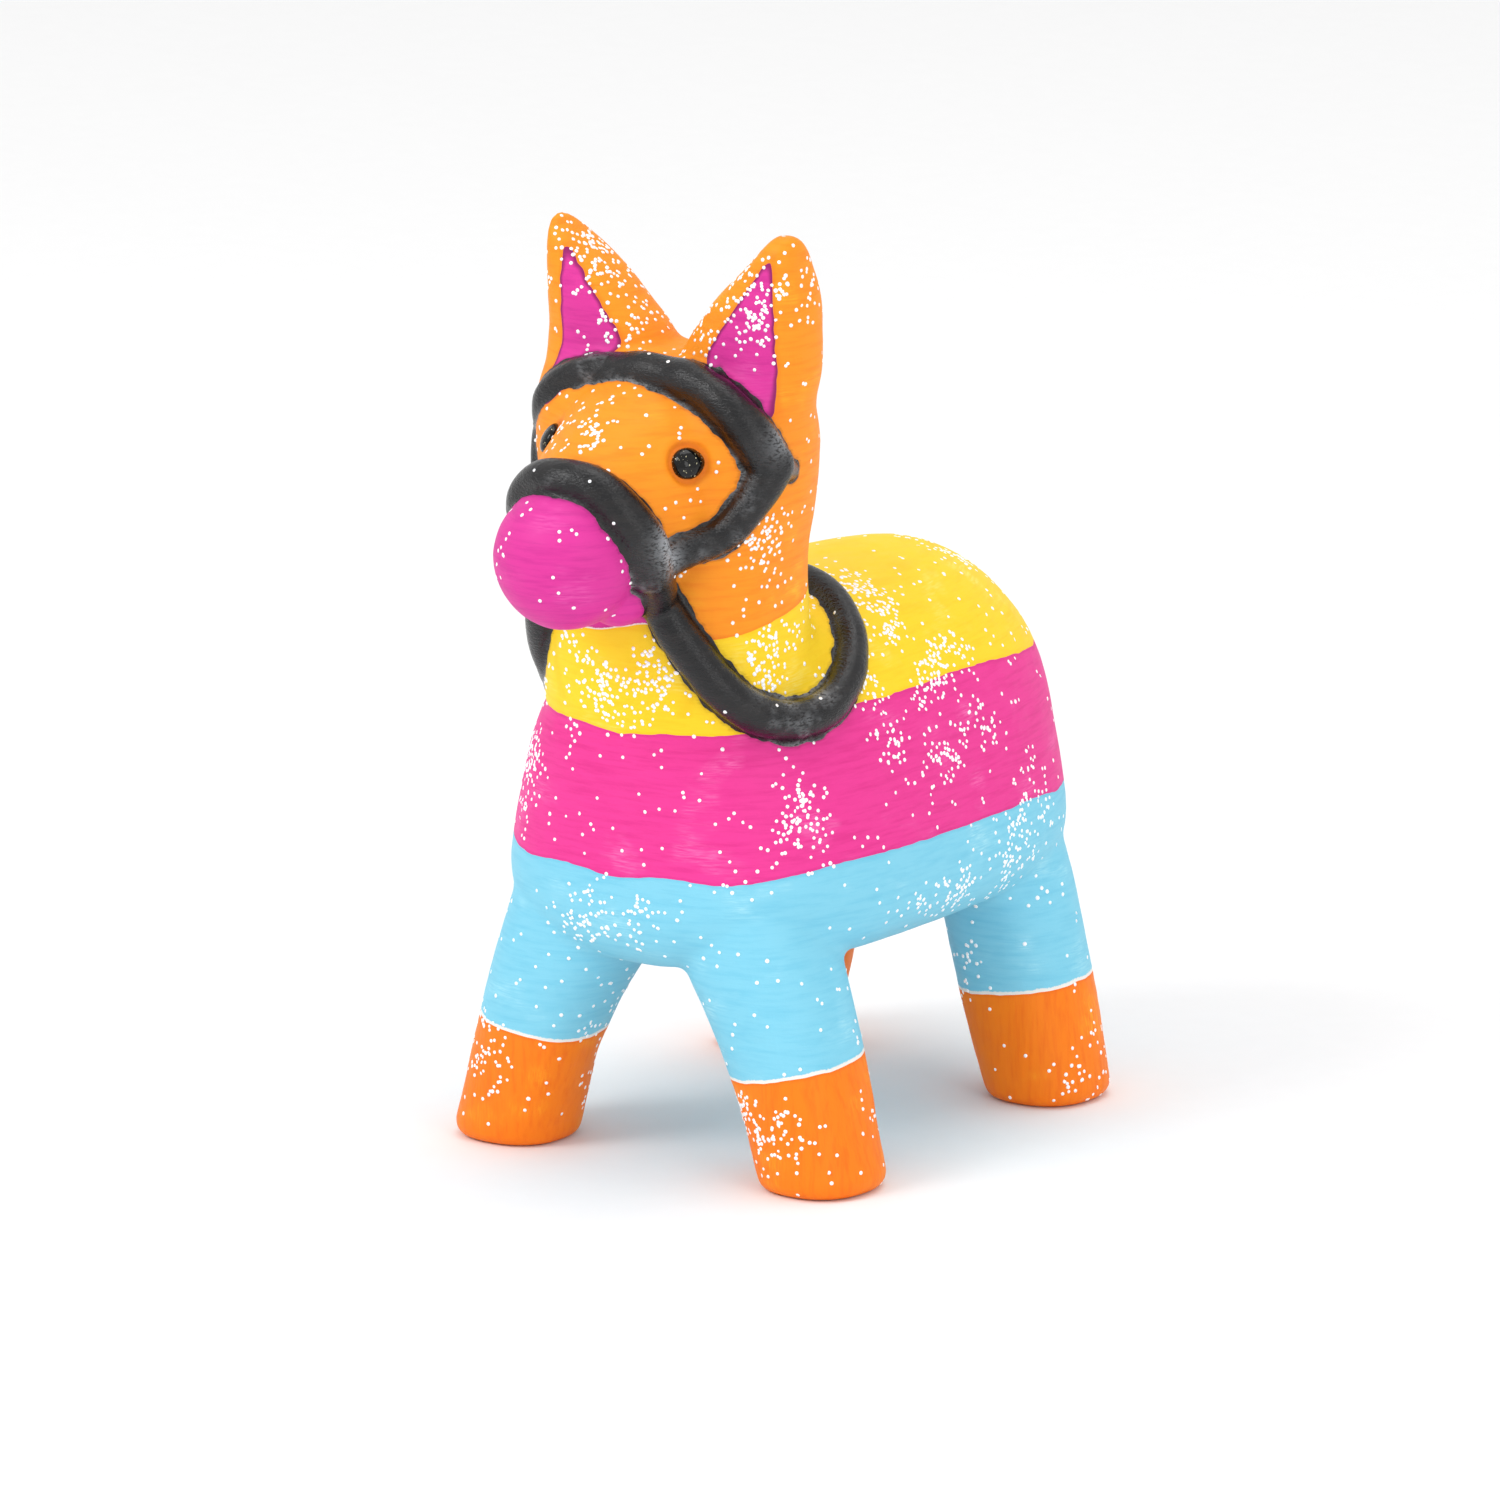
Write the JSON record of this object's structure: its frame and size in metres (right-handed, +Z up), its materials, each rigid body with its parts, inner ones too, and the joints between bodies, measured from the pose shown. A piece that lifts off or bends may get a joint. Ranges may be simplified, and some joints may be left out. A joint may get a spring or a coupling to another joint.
{
  "type": "donkey pinata figurine",
  "caption": "Small painted ceramic donkey pinata ornament with striped colour bands, pointed ears, a rope bridle and reins, standing on four splayed legs.",
  "frame": {"origin": "under the middle of the whole figurine's bounding box, on the surface it stands on", "axes": "+Z up, the nose points along -Y, +X is the animal's left side"},
  "size_m": [0.0467, 0.0766, 0.0916],
  "materials": {
    "orange_paint": "matte acrylic paint with fine glitter",
    "blue_paint": "matte acrylic paint with fine glitter",
    "pink_paint": "matte acrylic paint with fine glitter",
    "yellow_paint": "matte acrylic paint with fine glitter",
    "head_orange_paint": "matte acrylic paint with fine glitter",
    "magenta_paint": "matte acrylic paint with fine glitter",
    "eye_gloss": "glossy",
    "black_rope": "satin",
    "glitter": "small round reflective flakes"
  },
  "bodies": {
    "root": {"back_shell": "yellow_paint", "belly_shell": "blue_paint", "browband": "black_rope", "cheek_strap_left": "black_rope", "cheek_strap_right": "black_rope", "ear_left": "head_orange_paint", "ear_lining_left": "magenta_paint", "ear_lining_right": "magenta_paint", "ear_right": "head_orange_paint", "eye_left": "eye_gloss", "eye_right": "eye_gloss", "head_shell": "head_orange_paint", "hoof_front_left": "orange_paint", "hoof_front_right": "orange_paint", "hoof_rear_left": "orange_paint", "hoof_rear_right": "orange_paint", "leg_front_left": "blue_paint", "leg_front_right": "blue_paint", "leg_rear_left": "blue_paint", "leg_rear_right": "blue_paint", "middle_shell": "pink_paint", "muzzle": "magenta_paint", "neck_shell": "yellow_paint", "noseband": "black_rope", "rein_left": "black_rope", "rein_right": "black_rope", "tail": "head_orange_paint"}
  },
  "joints": []
}
